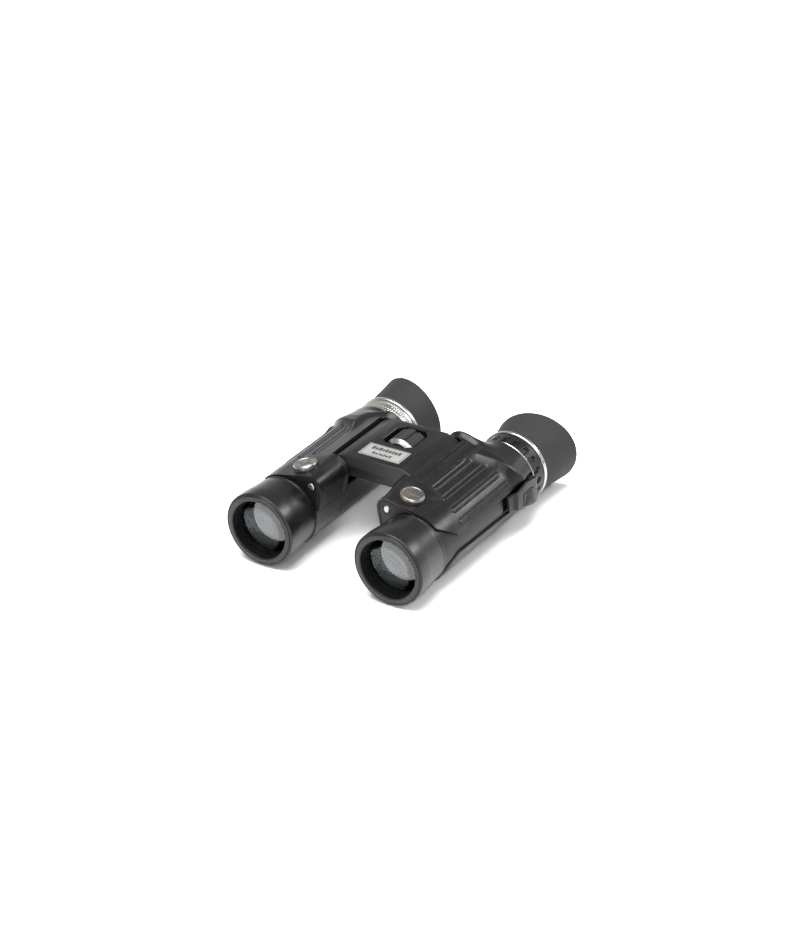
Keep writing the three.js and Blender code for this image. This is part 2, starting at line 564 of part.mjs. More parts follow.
function addBarrel(side, mirror) {
  const group = new THREE.Group();
  group.scale.x = mirror;
  group.position.x = (mirror * AXIS_SPACING) / 2;
  binoculars.add(group);
  const add = (name, ...piece) => addPiece(group, `${side}_${name}`, ...piece);
  const shell = armourShell();
  add('objective_hood', objectiveHood(), BLACK_METAL);
  add('objective_retainer', objectiveRetainer(), DARK_PLASTIC);
  add('objective_lens', objectiveLens(), GLASS);
  add('barrel_housing', barrelHousing(), DARK_PLASTIC);
  add('top_cover', topCover(shell), BLACK_ARMOUR);
  add('bottom_cover', bottomCover(shell), BLACK_ARMOUR);
  add('hinge_cap', hingeCap(), SILVER);
  add('medallion', medallion(), SATIN_SILVER);
  add('prism_cage', prismCage(), DARK_PLASTIC);
  add('half_prism', halfPrism(), GLASS);
  add('roof_prism', roofPrism(), GLASS);
  add('focus_cell', focusCell(), BLACK_METAL);
  add('focus_lens', focusLens(), GLASS);
  add('ocular_cell', ocularCell(), BLACK_METAL);
  add('field_lens', fieldLens(), GLASS);
  add('eye_lens', eyeLens(), GLASS);
  add('front_trim_ring', frontTrimRing(), SILVER);
  add('rear_trim_ring', rearTrimRing(), SILVER);
  add('eyecup', eyecup(), BLACK_RUBBER);
  add('strap_lug', strapLug(), BLACK_ARMOUR);
  add('release_button', releaseButton(), DARK_PLASTIC);
  if (side === 'left') add('diopter_ring', diopterRing(), DARK_PLASTIC);
  else add('eyepiece_band', eyepieceBand(), SATIN_SILVER);
}

addBridge();
addBarrel('left', 1);
addBarrel('right', -1);

// The origin goes to the middle of the model's footprint, at its lowest point.
const extent = new THREE.Box3().setFromObject(binoculars);
const middle = extent.getCenter(new THREE.Vector3());
binoculars.position.set(-middle.x, -middle.y, -extent.min.z);

export default binoculars;
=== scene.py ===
"""Looks of a pair of compact two-hinge binoculars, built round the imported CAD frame.

Shapes are drawn in millimetres in a barrel's own frame: u outwards, y from objective to eyepiece, v up.
A Place turns such a point into the row frame, in metres, and mirrors it for the right barrel.
"""

import json
import math

import bmesh
import bpy
import numpy as np
from mathutils import Matrix, Vector


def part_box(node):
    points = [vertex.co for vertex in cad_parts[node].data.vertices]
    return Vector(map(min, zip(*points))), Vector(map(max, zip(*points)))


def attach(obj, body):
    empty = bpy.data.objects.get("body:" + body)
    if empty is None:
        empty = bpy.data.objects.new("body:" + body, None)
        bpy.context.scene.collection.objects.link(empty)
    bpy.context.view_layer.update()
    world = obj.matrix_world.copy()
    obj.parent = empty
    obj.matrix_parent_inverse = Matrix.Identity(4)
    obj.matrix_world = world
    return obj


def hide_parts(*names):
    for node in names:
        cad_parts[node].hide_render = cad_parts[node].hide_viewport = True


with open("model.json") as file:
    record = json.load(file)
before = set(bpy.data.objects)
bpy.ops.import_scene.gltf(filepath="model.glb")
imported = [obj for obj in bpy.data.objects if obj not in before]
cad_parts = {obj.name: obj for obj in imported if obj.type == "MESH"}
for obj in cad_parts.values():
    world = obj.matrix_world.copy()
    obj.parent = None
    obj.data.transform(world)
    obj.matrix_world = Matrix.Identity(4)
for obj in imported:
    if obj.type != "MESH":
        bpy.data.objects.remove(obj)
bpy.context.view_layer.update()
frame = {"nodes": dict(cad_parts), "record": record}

MM = 0.001

# ---- Dimensions, in millimetres and degrees ----

AXIS_SPACING = 70
HINGE = (-14.4, 15.5)  # hinge axis in a barrel's frame
HINGE_REACH = math.hypot(*HINGE)
HINGE_HEADING = math.atan2(HINGE[1], HINGE[0])
ARMOUR_RADIUS = 17.5
ARMOUR = 1.0  # thickness of the covers
LUG_RADIUS = 5.4
SHOULDER_RADIUS = 7.24  # the lug's radius where it meets the bridge
SHOULDER_EDGE = (-12.2, 22.4)  # where the top cover folds down beside the bridge
KNUCKLE_RADIUS = 5.2
KNUCKLE_CLEARANCE = 5.6
LUG_FRONT = 22.8
LUG_REAR = 43.0
BRIDGE_FRONT = 43.6
BRIDGE_REAR = 83.4
REAR_LUG_START = 84.0
BARREL_END = 97.3
HOUSING_RADIUS = 16.1  # the chassis under the armour
HOUSING_LUG = 4.3
BORE = 14.5
RIB = 0.95  # half the width of a rib
RIB_CROWN = 0.2
MOAT_DEPTH = 0.4
RIBS = [(96, 44, 73.4), (75, 41, 76), (53.5, 38.3, 77), (32.5, 37.9, 79.2)]  # (degrees, start, end)
HUMP = 2.0  # height of the swelling behind the ribs
CREST = 78.6  # where that swelling is highest, at the top of the barrel
SCOOP = 7.0  # length of the scoop in front of its crest
LUG_SWELLS_FROM = 27
LUG_FADES = (87, 95)
GROOVES = (40.6, 42)  # two fine grooves across the inner side
GROOVED_SIDE = (128, 200)
GROOVE_HALF_WIDTH = 0.25
GROOVE_DEPTH = 0.35


class Place:
    """Where a sub-assembly is drawn: its origin in the row frame, and whether it is mirrored."""

    def __init__(self, x, front, height, mirror=1):
        self.origin = Vector((x, front, height))
        self.mirror = mirror

    def __call__(self, u, y, v):
        return self.origin + Vector((self.mirror * u, y, v)) * MM


def barrel_place(side):
    low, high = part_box(f"{side}_objective_hood")
    mirror = 1 if side == "left" else -1
    return Place((low.x + high.x) / 2, low.y, (low.z + high.z) / 2, mirror)


BARRELS = {side: barrel_place(side) for side in ("left", "right")}
BRIDGE = Place(0, BARRELS["left"].origin.y, BARRELS["left"].origin.z)


# ---- Materials ----

def node(tree, kind, **values):
    """A new node; each value sets the input of that name, or else the property."""
    made = tree.nodes.new(kind)
    for name, value in values.items():
        if name in made.inputs.keys():
            made.inputs[name].default_value = value
        else:
            setattr(made, name, value)
    return made


def noise(tree, coordinates, scale, detail=3):
    made = node(tree, "ShaderNodeTexNoise", Scale=scale, Detail=detail)
    tree.links.new(coordinates, made.inputs["Vector"])
    return made.outputs["Fac"]


def remap(tree, value, low, high, start=0.3, end=0.7, curve="LINEAR"):
    """Maps start..end to low..high, and stays level beyond both ends."""
    made = node(tree, "ShaderNodeMapRange", interpolation_type=curve)
    for socket, number in (("From Min", start), ("From Max", end), ("To Min", low), ("To Max", high)):
        made.inputs[socket].default_value = number
    tree.links.new(value, made.inputs["Value"])
    return made.outputs["Result"]


def blend_colors(tree, factor, first, second):
    mix = node(tree, "ShaderNodeMix", data_type="RGBA")
    tree.links.new(factor, mix.inputs[0])
    for socket, color in ((mix.inputs[6], first), (mix.inputs[7], second)):
        if isinstance(color, tuple):
            socket.default_value = (*color, 1)
        else:
            tree.links.new(color, socket)
    return mix.outputs[2]


CLOUD_SCALE = 90
GRAIN_HEIGHT = 0.05
WORN_EDGES = (0.52, 0.62)  # the pointiness over which wear sets in


def finish(name, color, rough, spread=0.05, grain=0, depth=0, wear=None, **shader):
    """A finish with cloudy gloss, fine grain, and edges that have rubbed lighter."""
    material = bpy.data.materials.new(name)
    material.use_nodes = True
    tree = material.node_tree
    principled = tree.nodes["Principled BSDF"]
    coordinates = node(tree, "ShaderNodeTexCoord").outputs["Object"]
    cloud = noise(tree, coordinates, CLOUD_SCALE)
    tree.links.new(remap(tree, cloud, rough - spread, rough + spread), principled.inputs["Roughness"])
    dark = tuple(channel * 0.8 for channel in color)
    base = blend_colors(tree, cloud, dark, color)
    if wear:
        pointed = node(tree, "ShaderNodeNewGeometry").outputs["Pointiness"]
        base = blend_colors(tree, remap(tree, pointed, 0, 0.7, *WORN_EDGES), base, wear)
    tree.links.new(base, principled.inputs["Base Color"])
    if grain:
        bump = node(tree, "ShaderNodeBump", Strength=depth, Distance=GRAIN_HEIGHT * MM)
        tree.links.new(noise(tree, coordinates, grain, 2), bump.inputs["Height"])
        tree.links.new(bump.outputs["Normal"], principled.inputs["Normal"])
    for socket, value in shader.items():
        principled.inputs[socket.replace("_", " ")].default_value = value
    return material


BLACK = (0.0045, 0.0045, 0.0052)
PLASTIC_BLACK = (0.004, 0.004, 0.0045)
RUBBER_BLACK = (0.017, 0.0155, 0.0155)
WORN_ARMOUR = (0.02, 0.02, 0.023)
WORN_METAL = (0.02, 0.02, 0.022)
FINISHES = {
    "black_armour": finish("black_armour", BLACK, 0.36, 0.04, 3200, 0.3, WORN_ARMOUR,
                           Specular_IOR_Level=0.29),
    "black_metal": finish("black_metal", BLACK, 0.34, 0.04, 2600, 0.2, WORN_METAL,
                          Specular_IOR_Level=0.4),
    "black_rubber": finish("black_rubber", RUBBER_BLACK, 0.7, 0.06, 3800, 0.6,
                           Specular_IOR_Level=0.3),
    "dark_plastic": finish("dark_plastic", PLASTIC_BLACK, 0.42, 0.05, 3000, 0.3,
                           Specular_IOR_Level=0.3),
    "bright_silver": finish("bright_silver", (0.46, 0.46, 0.45), 0.3, 0.05, Metallic=1.0),
    "satin_silver": finish("satin_silver", (0.42, 0.41, 0.38), 0.36, 0.06, 5000, 0.3, Metallic=1.0),
    "steel": finish("steel", (0.55, 0.55, 0.56), 0.3, 0.06, Metallic=1.0),
    "brass": finish("brass", (0.66, 0.5, 0.26), 0.32, 0.06, Metallic=1.0),
    "coated_glass": finish("coated_glass", (0.62, 0.7, 0.72), 0.02, 0.01,
                           Transmission_Weight=1.0, IOR=1.8),
    "prism_glass": finish("prism_glass", (0.8, 0.85, 0.86), 0.06, 0.02,
                          Transmission_Weight=1.0, IOR=1.57),
}
PLATE = finish("pale_plate", (0.3, 0.3, 0.29), 0.4, 0.05, 5000, 0.2, Metallic=0.3)
INK = finish("dark_ink", (0.03, 0.03, 0.03), 0.6, 0.05)
ANTIQUE = finish("antique_silver", (0.3, 0.28, 0.26), 0.34, 0.06, 5000, 0.3, Metallic=1.0)
LINING = finish("flat_black", (0.0015, 0.0015, 0.0015), 0.6, 0.05, Specular_IOR_Level=0.12)


# ---- Mesh tools ----

def rounded(corners, steps=4):
    """The closed outline of corners (a, b, radius), each rounded by about its radius."""
    points = []
    for index, (a, b, radius) in enumerate(corners):
        here = Vector((a, b))
        before = Vector(corners[index - 1][:2]) - here
        after = Vector(corners[(index + 1) % len(corners)][:2]) - here
        if radius <= 0:
            points.append(here)
            continue
        reach = radius / math.tan(before.angle(after) / 2)
        start = here + before.normalized() * min(reach, 0.49 * before.length)
        end = here + after.normalized() * min(reach, 0.49 * after.length)
        for step in range(steps + 1):
            t = step / steps
            points.append((1 - t) ** 2 * start + 2 * t * (1 - t) * here + t * t * end)
    return points


def tidy(mesh):
    """Merges points that coincide and turns every face outwards."""
    edit = bmesh.new()
    edit.from_mesh(mesh)
    bmesh.ops.remove_doubles(edit, verts=edit.verts, dist=0.002 * MM)
    bmesh.ops.recalc_face_normals(edit, faces=edit.faces)
    edit.to_mesh(mesh)
    edit.free()


def linked(name, mesh):
    made = bpy.data.objects.new(name, mesh)
    bpy.context.scene.collection.objects.link(made)
    return made


def shape(name, place, points, faces):
    """A closed mesh object from points (u, y, v) in a place's frame."""
    mesh = bpy.data.meshes.new(name)
    mesh.from_pydata([place(*point) for point in points], [], faces)
    tidy(mesh)
    return linked(name, mesh)


def baked(made):
    """Applies the object's modifiers."""
    graph = bpy.context.evaluated_depsgraph_get()
    mesh = bpy.data.meshes.new_from_object(made.evaluated_get(graph))
    made.modifiers.clear()
    made.data = mesh
    return made


def carve(made, *cutters, operation="DIFFERENCE"):
    """Cuts the cutters out of a piece, or joins them to it with UNION, and uses them up."""
    for cutter in cutters:
        boolean = made.modifiers.new("carve", "BOOLEAN")
        boolean.operation = operation
        boolean.object = cutter
        boolean.solver = "EXACT"
    baked(made)
    for cutter in cutters:
        bpy.data.objects.remove(cutter)
    return made


def bevelled(made, width, steps=3, angle=35):
    """Rounds the edges sharper than an angle in degrees."""
    bevel = made.modifiers.new("bevel", "BEVEL")
    bevel.width = width * MM
    bevel.segments = steps
    bevel.limit_method = "ANGLE"
    bevel.angle_limit = math.radians(angle)
    return baked(made)


def turned(name, place, outline, segments=96, centre=(0, 0), wave=None):
    """A solid turned about a line along Y, from a closed outline of (radius, y) points.

    wave(angle, radius, y) moves the surface outwards, for knurls, pockets and slanted rims.
    """
    points = []
    for index in range(segments):
        angle = 2 * math.pi * index / segments
        for radius, y in outline:
            if wave:
                radius, y = wave(angle, radius, y)
            u, v = centre[0] + radius * math.cos(angle), centre[1] + radius * math.sin(angle)
            points.append((u, y, v))
    count = len(outline)
    faces = []
    for ring in range(segments):
        near, far = ring * count, ((ring + 1) % segments) * count
        for index in range(count):
            after = (index + 1) % count
            faces.append((near + index, near + after, far + after, far + index))
    return shape(name, place, points, faces)


AXIS_ORDER = {
    "y": lambda a, b, level: (a, level, b),
    "u": lambda a, b, level: (level, a, b),
    "v": lambda a, b, level: (a, b, level),
}


def tapered(name, place, lower, upper, start, end, along="v"):
    """A solid between two outlines of equally many points.

    The outlines are (u, v) along y, (y, v) along u, and (u, y) along v.
    """
    order = AXIS_ORDER[along]
    points = [order(a, b, start) for a, b in lower] + [order(a, b, end) for a, b in upper]
    count = len(lower)
    faces = [tuple(range(count)), tuple(range(count, 2 * count))]
    faces += [(i, (i + 1) % count, (i + 1) % count + count, i + count) for i in range(count)]
    return shape(name, place, points, faces)


def prism(name, place, outline, start, end, along="y"):
    """A straight extrusion of a closed outline."""
    return tapered(name, place, outline, outline, start, end, along)


def joined(name, *others):
    """One object from several."""
    edit = bmesh.new()
    for other in others:
        edit.from_mesh(other.data)
    mesh = bpy.data.meshes.new(name)
    edit.to_mesh(mesh)
    edit.free()
    for other in others:
        bpy.data.objects.remove(other)
    return linked(name, mesh)


SHARP = 32  # degrees from which an edge is shaded sharp
COVER_SHARP = 60


def place_piece(made, slot, body, nodes, sharp=SHARP, material=None):
    """Finishes a piece: its material, its smooth shading, its body and the CAD node it stands for."""
    made.data.materials.clear()
    made.data.materials.append(material or FINISHES[slot])
    made.data.shade_smooth()
    made.data.set_sharp_from_angle(angle=math.radians(sharp))
    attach(made, body)
    if nodes:
        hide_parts(*nodes)
    return made


def circle(radius, centre=(0, 0), segments=64):
    turns = [2 * math.pi * index / segments for index in range(segments)]
    return [(centre[0] + radius * math.cos(turn), centre[1] + radius * math.sin(turn)) for turn in turns]


def smooth(value, start, end):
    """0 before start, 1 after end, and a smooth step between them."""
    share = np.clip((value - start) / (end - start), 0, 1)
    return share * share * (3 - 2 * share)


# ---- The armour's surface, as a distance from the barrel's axis ----

def outline_reach(angle, radius, lug):
    """Distance to the outline round a barrel and its hinge lug, for angles in radians."""
    spread = np.arccos((radius - lug) / HINGE_REACH)
    away = np.abs((angle - HINGE_HEADING + np.pi) % (2 * np.pi) - np.pi)
    lug_edge = np.arctan2(lug * np.sin(spread), HINGE_REACH + lug * np.cos(spread))
    line = radius / np.cos(np.clip(away - spread, -1.4, 1.4))
    inside = np.maximum(lug ** 2 - (HINGE_REACH * np.sin(away)) ** 2, 0)
    cap = HINGE_REACH * np.cos(away) + np.sqrt(inside)
    return np.where(away >= spread, radius, np.where(away <= lug_edge, cap, line))


def crest_line(degrees):
    """Where the hump behind the ribs is highest: an arc that comes forward on the inner side."""
    outer = np.maximum(90 - degrees, 0)
    inner = np.clip(degrees - 90, 0, 24)
    return CREST + 0.115 * outer + 0.00025 * outer ** 2 - 0.025 * inner ** 2


def hump_height(angle, y):
    """The swelling behind the ribs, with a scoop in front of its curved crest."""
    degrees = np.degrees(angle)
    crest = crest_line(degrees)
    scoop = HUMP * np.clip((y - crest + SCOOP) / SCOOP, 0, 1) ** 2
    low_inner_side = smooth(degrees, 92, 110) * (1 - smooth(y, 83.8, 88.5))
    body = HUMP * smooth(y, 58, 77) * (1 - low_inner_side)
    height_at_neck = 0.1 + 0.7 * smooth(degrees, 60, 95)
    falls_from = np.maximum(crest + 1, REAR_LUG_START) + 4 * smooth(degrees, 95, 118)
    share = np.clip((y - falls_from) / (BARREL_END - falls_from), 0, 1)
    fall = (HUMP - height_at_neck) * share ** 0.85
    upper_side = smooth(degrees, -12, 16) * (1 - smooth(degrees, 150, 185))
    return (np.minimum(scoop, body) - fall) * upper_side


def rib_height(angle, y, reach):
    """Grip ribs, each flush with the armour and standing in a narrow moat."""
    height = np.zeros_like(y)
    for degrees, start, end in RIBS:
        across = (angle - math.radians(degrees)) * reach
        beyond = np.maximum(np.maximum(start + RIB - y, y - end + RIB), 0)
        edge = np.hypot(across, beyond) - RIB
        bar = 1 - smooth(edge, -0.3, 0.05)
        moat = smooth(edge, -0.25, 0.1) * (1 - smooth(edge, 0.4, 0.95))
        height = height + RIB_CROWN * bar * (1 - (across / 1.6) ** 2) - MOAT_DEPTH * moat
    return height


def armour_reach(angle, y):
    """Distance to the outside of the armour, with its ribs, hump and grooves."""
    lug = LUG_RADIUS + (SHOULDER_RADIUS - LUG_RADIUS) * smooth(y, LUG_SWELLS_FROM, LUG_REAR)
    reach = outline_reach(angle, ARMOUR_RADIUS, lug)
    fade = smooth(y, *LUG_FADES)
    reach = reach * (1 - fade) + ARMOUR_RADIUS * fade
    detail = rib_height(angle, y, reach) + hump_height(angle, y)
    first, second = (np.abs(y - groove) < GROOVE_HALF_WIDTH for groove in GROOVES)
    low, high = (math.radians(degrees) for degrees in GROOVED_SIDE)
    inner_side = (angle > low) & (angle < high)
    return reach + detail - GROOVE_DEPTH * ((first | second) & inner_side)


def skin(name, place, rows, columns, where, keep):
    """An armour cover: a grid over rows of y and columns of angle, thickened and with rounded edges.

    where(angle, y) gives each grid point's u, y and v; keep(degrees, y) says which cells stay.
    """
    y, angle = np.meshgrid(rows, columns, indexing="ij")
    u, along, v = where(np.radians(angle), y)
    points = np.stack([u, along, v], axis=-1).reshape(-1, 3)
    middle_y = (y[:-1, :-1] + y[1:, 1:]) / 2
    middle_angle = (angle[:-1, :-1] + angle[1:, 1:]) / 2
    kept = keep(middle_angle, middle_y)
    width = len(columns)
    faces = [(r * width + c, r * width + c + 1, (r + 1) * width + c + 1, (r + 1) * width + c)
             for r, c in zip(*np.nonzero(kept))]
    used = sorted({corner for face in faces for corner in face})
    index = {corner: position for position, corner in enumerate(used)}
    mesh = bpy.data.meshes.new(name)
    corners = [place(*points[corner]) for corner in used]
    loops = [tuple(index[corner] for corner in face) for face in faces]
    mesh.from_pydata(corners, [], loops if place.mirror < 0 else [loop[::-1] for loop in loops])
    made = linked(name, mesh)
    solidify = made.modifiers.new("thickness", "SOLIDIFY")
    solidify.thickness = ARMOUR * MM
    solidify.offset = -1
    solidify.bevel_convex = 1
    bevel = made.modifiers.new("edges", "BEVEL")
    bevel.width = 0.22 * MM
    bevel.segments = 2
    bevel.limit_method = "WEIGHT"
    return baked(made)


def spaced(start, end, step):
    """Even values from start to end, about a step apart."""
    return list(np.linspace(start, end, max(2, round(abs(end - start) / step) + 1)))


SHOULDER_ANGLE = math.degrees(math.atan2(SHOULDER_EDGE[1], SHOULDER_EDGE[0]))
SKIRT = 4  # degrees of grid that fold down beside the bridge
SEAM_ANGLE = 17.6  # the top cover's lower edge on the outer side
SEAM_RISE = 5.9  # degrees that edge climbs towards the eyepiece
BOTTOM_SEAM = -10.5  # the bottom cover's upper edge on the outer side
INNER_EDGE = -192.5  # its inner edge before and behind the bridge
INNER_EDGE_AT_BRIDGE = -201
SLANT = 0.378  # how far the top cover's front edge runs back for each degree
GRID = 0.27


def beside_bridge(y):
    return (y > LUG_REAR + 0.05) & (y < REAR_LUG_START - 0.05)


def swept(y, front):
    """Moves the first rows back, so that a cover starts at the given front edge."""
    return y + (front - LUG_FRONT) * np.clip((LUG_REAR - y) / (LUG_REAR - LUG_FRONT), 0, 1)


def pulled(degrees, edge, new_edge, still):
    """Moves the columns between an edge and a still angle, so that the edge gets its new angle."""
    share = np.clip((degrees - still) / (edge - still), 0, 1)
    return degrees + (new_edge - edge) * share


def top_where(angle, y):
    degrees = np.degrees(angle)
    degrees = pulled(degrees, SEAM_ANGLE, SEAM_ANGLE + SEAM_RISE * smooth(y, 73, 95), 27)
    along = swept(y, LUG_FRONT + SLANT * np.clip(47.4 - degrees, 0, 30))
    reach = armour_reach(np.radians(degrees), along)
    u = reach * np.cos(np.radians(degrees))
    v = reach * np.sin(np.radians(degrees))
    fold = np.clip(degrees - SHOULDER_ANGLE, 0, SKIRT) / SKIRT
    skirt = (degrees > SHOULDER_ANGLE + 0.01) & beside_bridge(y)
    return (np.where(skirt, SHOULDER_EDGE[0], u), along,
            np.where(skirt, SHOULDER_EDGE[1] - 1.6 * fold, v))


def top_keep(degrees, y):
    return ~(beside_bridge(y) & (degrees > SHOULDER_ANGLE + SKIRT))


def bottom_where(angle, y):
    seam = BOTTOM_SEAM - 0.1 * np.clip(y - 34, 0, 46)
    degrees = pulled(np.degrees(angle), BOTTOM_SEAM, seam, -60)
    along = swept(y, LUG_FRONT - 1.7 + 12.9 * np.clip((degrees + 38) / 27.5, 0, 1))
    reach = armour_reach(np.radians(degrees % 360), along)
    return reach * np.cos(np.radians(degrees)), along, reach * np.sin(np.radians(degrees))


def bottom_keep(degrees, y):
    return (degrees > INNER_EDGE) | ((y > BRIDGE_FRONT - 0.2) & (y < BRIDGE_REAR + 0.2))


def top_cover(place):
    rows = spaced(LUG_FRONT, LUG_REAR, GRID) + spaced(LUG_REAR, REAR_LUG_START, GRID)[1:]
    rows += spaced(REAR_LUG_START, BARREL_END, GRID)[1:]
    columns = spaced(SEAM_ANGLE, SHOULDER_ANGLE, 0.5)
    columns += [SHOULDER_ANGLE + SKIRT / 2, SHOULDER_ANGLE + SKIRT]
    columns += spaced(SHOULDER_ANGLE + SKIRT, 167, 1.4)[1:]
    return skin("top_cover", place, np.array(rows), np.array(columns), top_where, top_keep)


def bottom_cover(place):
    rows = spaced(LUG_FRONT, BARREL_END, 0.6)
    columns = [INNER_EDGE_AT_BRIDGE, -196, INNER_EDGE] + spaced(-190, BOTTOM_SEAM, 1.6)
    return skin("bottom_cover", place, np.array(rows), np.array(columns), bottom_where, bottom_keep)


# ---- Barrel pieces ----

def objective_hood(place):
    waist = [(18.15 - 1.25 * ((y - 7) / 13.5) ** 0.9, y, 0) for y in np.linspace(7, 20.5, 12)]
    outline = rounded([
        (14.7, 12.0, 0), (14.7, 1.6, 0), (14.46, 0.9, 0.1), (14.46, 0.4, 0.25), (15.0, 0.02, 0.2),
        (16.9, 0.3, 0.1), (17.1, 0.75, 0.05), (17.3, 0.75, 0.05), (17.45, 0.4, 0.1), (18.15, 1.1, 0.4),
        *waist, (17.05, 20.9, 0.1), (17.05, 21.6, 0.1), (15.3, 21.6, 0.1), (15.3, 12.0, 0),
    ])
    return turned("objective_hood", place, outline, 160)


def hood_lining(place):
    """The black wall in front of the lens, with fine baffle ridges at its foot."""
    ridges = []
    for y in np.arange(5.0, 1.6, -0.75):
        ridges += [(14.35, y, 0.05), (14.1, y - 0.1, 0.05), (14.1, y - 0.3, 0.05), (14.35, y - 0.4, 0.05)]
    outline = rounded([(14.7, 1.0, 0), (14.7, 12.4, 0), (13.3, 12.4, 0), (13.3, 11.2, 0), (14.2, 11.2, 0),
                       *ridges, (14.4, 1.0, 0)])
    return turned("hood_lining", place, outline, 128)


def objective_retainer(place):
    outline = rounded([(14.1, 5.2, 0), (14.1, 6.1, 0), (13.85, 6.1, 0.05), (13.75, 5.5, 0.05),
                       (13.9, 5.2, 0.05)])
    return turned("objective_retainer", place, outline, 96)


def lens(name, place, radius, front, rear, front_sag, rear_sag, segments=64):
    """A lens whose faces fall back from its middle by a sag at the edge."""
    shares = [index / 12 for index in range(13)]
    outline = [(radius * share, front + front_sag * share ** 2) for share in shares]
    outline += [(radius * share, rear - rear_sag * share ** 2) for share in reversed(shares)]
    return turned(name, place, outline, segments)


def barrel_housing(place):
    """The black tube and lugs under the armour, cut back round the bridge's knuckle."""
    tube = turned("barrel_housing", place, rounded([
        (13.4, 13, 0.1), (15, 13, 0.1), (15, 21.8, 0), (16.3, 21.8, 0.2), (16.3, 97.4, 0.2),
        (14.4, 97.4, 0), (14.4, 112, 0.3), (12.4, 112, 0.3), (12.4, 91.5, 0), (BORE, 91.5, 0),
        (BORE, 22.5, 0), (13.4, 21.5, 0),
    ]), 96)
    turns = np.linspace(-np.pi, np.pi, 144, endpoint=False)
    reaches = outline_reach(turns, HOUSING_RADIUS, HOUSING_LUG)
    outline = [(reach * math.cos(turn), reach * math.sin(turn)) for turn, reach in zip(turns, reaches)]
    bore = circle(BORE, segments=96)
    lugs = []
    for start, end in ((LUG_FRONT + 0.02, LUG_REAR - 0.1), (REAR_LUG_START + 0.1, 91)):
        lug = bevelled(prism("lug", place, outline, start, end), 0.35)
        lugs.append(carve(lug, prism("bore", place, bore, start - 1, end + 1)))
    housing = carve(tube, *lugs, operation="UNION")
    knuckle = circle(KNUCKLE_CLEARANCE, HINGE)
    clearance = prism("clearance", place, knuckle, LUG_REAR - 0.1, REAR_LUG_START + 0.1)
    screw_well = prism("well", place, circle(1.95, HINGE, 40), LUG_FRONT - 2, 28.4)
    behind_strap = [(71.6, -2.6), (92, -2.6), (92, 6), (71.6, 5)]
    strap_recess = prism("recess", place, behind_strap, 14.7, 20, along="u")
    return carve(housing, clearance, screw_well, strap_recess)


def hinge_cap(place):
    dome = [(1.7 * math.sin(t), 22.75 - 0.4 * math.cos(t), 0) for t in np.linspace(0, math.pi / 2, 8)]
    outline = rounded([*dome, (1.7, 28, 0.1), (0, 28, 0)])
    return turned("hinge_cap", place, outline, 48, HINGE)


def medallion(place):
    """A bevelled disc with a plain compass star, lying on the armour over the front lug."""
    low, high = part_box("left_medallion")
    origin = BARRELS["left"].origin
    centre = ((low + high) / 2 - origin) / MM
    flat = Place(0, 0, 0)
    outline = rounded([(0, -0.8, 0), (5.75, -0.8, 0.1), (5.75, 1.1, 0.5), (5.15, 1.85, 0.3),
                       (4.75, 1.85, 0.1), (4.55, 1.65, 0.1), (0, 1.65, 0)])
    disc = turned("medallion", flat, outline, 96)
    star = []
    for index in range(16):
        turn = math.pi * index / 8
        reach = (3.9, 1.05, 2.4, 1.05)[index % 4]
        star.append((reach * math.cos(turn), reach * math.sin(turn)))
    emblem = prism("star", flat, star, 1.5, 1.9, along="y")
    bevelled(emblem, 0.12, 2)
    made = joined("medallion", disc, emblem)
    spread = math.acos((ARMOUR_RADIUS - LUG_RADIUS) / HINGE_REACH)
    tilt = math.pi / 2 - (HINGE_HEADING - spread)
    stand = Matrix.Rotation(math.pi / 2, 4, "X")
    move = Matrix.Translation(place(*centre))
    made.data.transform(move @ Matrix.Rotation(tilt * place.mirror, 4, "Y") @ stand)
    if place.mirror < 0:
        tidy(made.data)
    return made


def front_trim_ring(place, radius=17.8, start=97.75, end=98.45):
    outline = rounded([(14.7, start, 0.1), (radius - 0.25, start, 0.15), (radius, (start + end) / 2, 0.3),
                       (radius - 0.25, end, 0.15), (14.7, end, 0.1)])
    return turned("front_trim_ring", place, outline, 128)


INDEX_ANGLE = 22  # degrees above level, on the outer side


def rear_trim_ring(place):
    """A bright ring with one index notch."""
    outline = rounded([(14.7, 107.3, 0.1), (17.35, 107.3, 0.15), (17.7, 107.7, 0.2), (17.7, 108.9, 0.2),
                       (17.3, 109.4, 0.15), (14.7, 109.4, 0.1)])
    ring = turned("rear_trim_ring", place, outline, 128)
    mark = [(106.8, -0.55), (108.6, -0.55), (108.6, 0.55), (106.8, 0.55)]
    notch = prism("notch", place, mark, 17.1, 19, along="u")
    turn = Matrix.Rotation(-math.radians(INDEX_ANGLE) * place.mirror, 4, "Y")
    home = Matrix.Translation(place.origin)
    notch.data.transform(home @ turn @ home.inverted())
    return carve(ring, notch)


POCKETS = 20
POCKET_HALF_WIDTH = 1.3
POCKET_DEPTH = 1.0


def diopter_ring(place):
    """A ring of pockets, open in front and round at the back."""
    length = [98.7, 98.8, 99.0] + list(np.arange(99.3, 105.2, 0.22)) + [105.6, 106.6, 106.85, 107.0]
    outer = [(17.2 - (0.25 if y < 98.75 or y > 106.95 else 0), float(y)) for y in length]
    outline = [(14.7, 98.7), *outer, (14.7, 107.0)]

    def pockets(angle, radius, y):
        if radius < 16:
            return radius, y
        step = 2 * math.pi / POCKETS
        across = ((angle + step / 2) % step - step / 2) * radius
        beyond = max(y - 103.1, 0)
        edge = math.hypot(across, beyond) - POCKET_HALF_WIDTH
        return radius - POCKET_DEPTH * (1 - float(smooth(edge, -0.22, 0.12))), y

    return turned("diopter_ring", place, outline, 480, wave=pockets)


KNURLS = 80
KNURL_DEPTH = 0.22


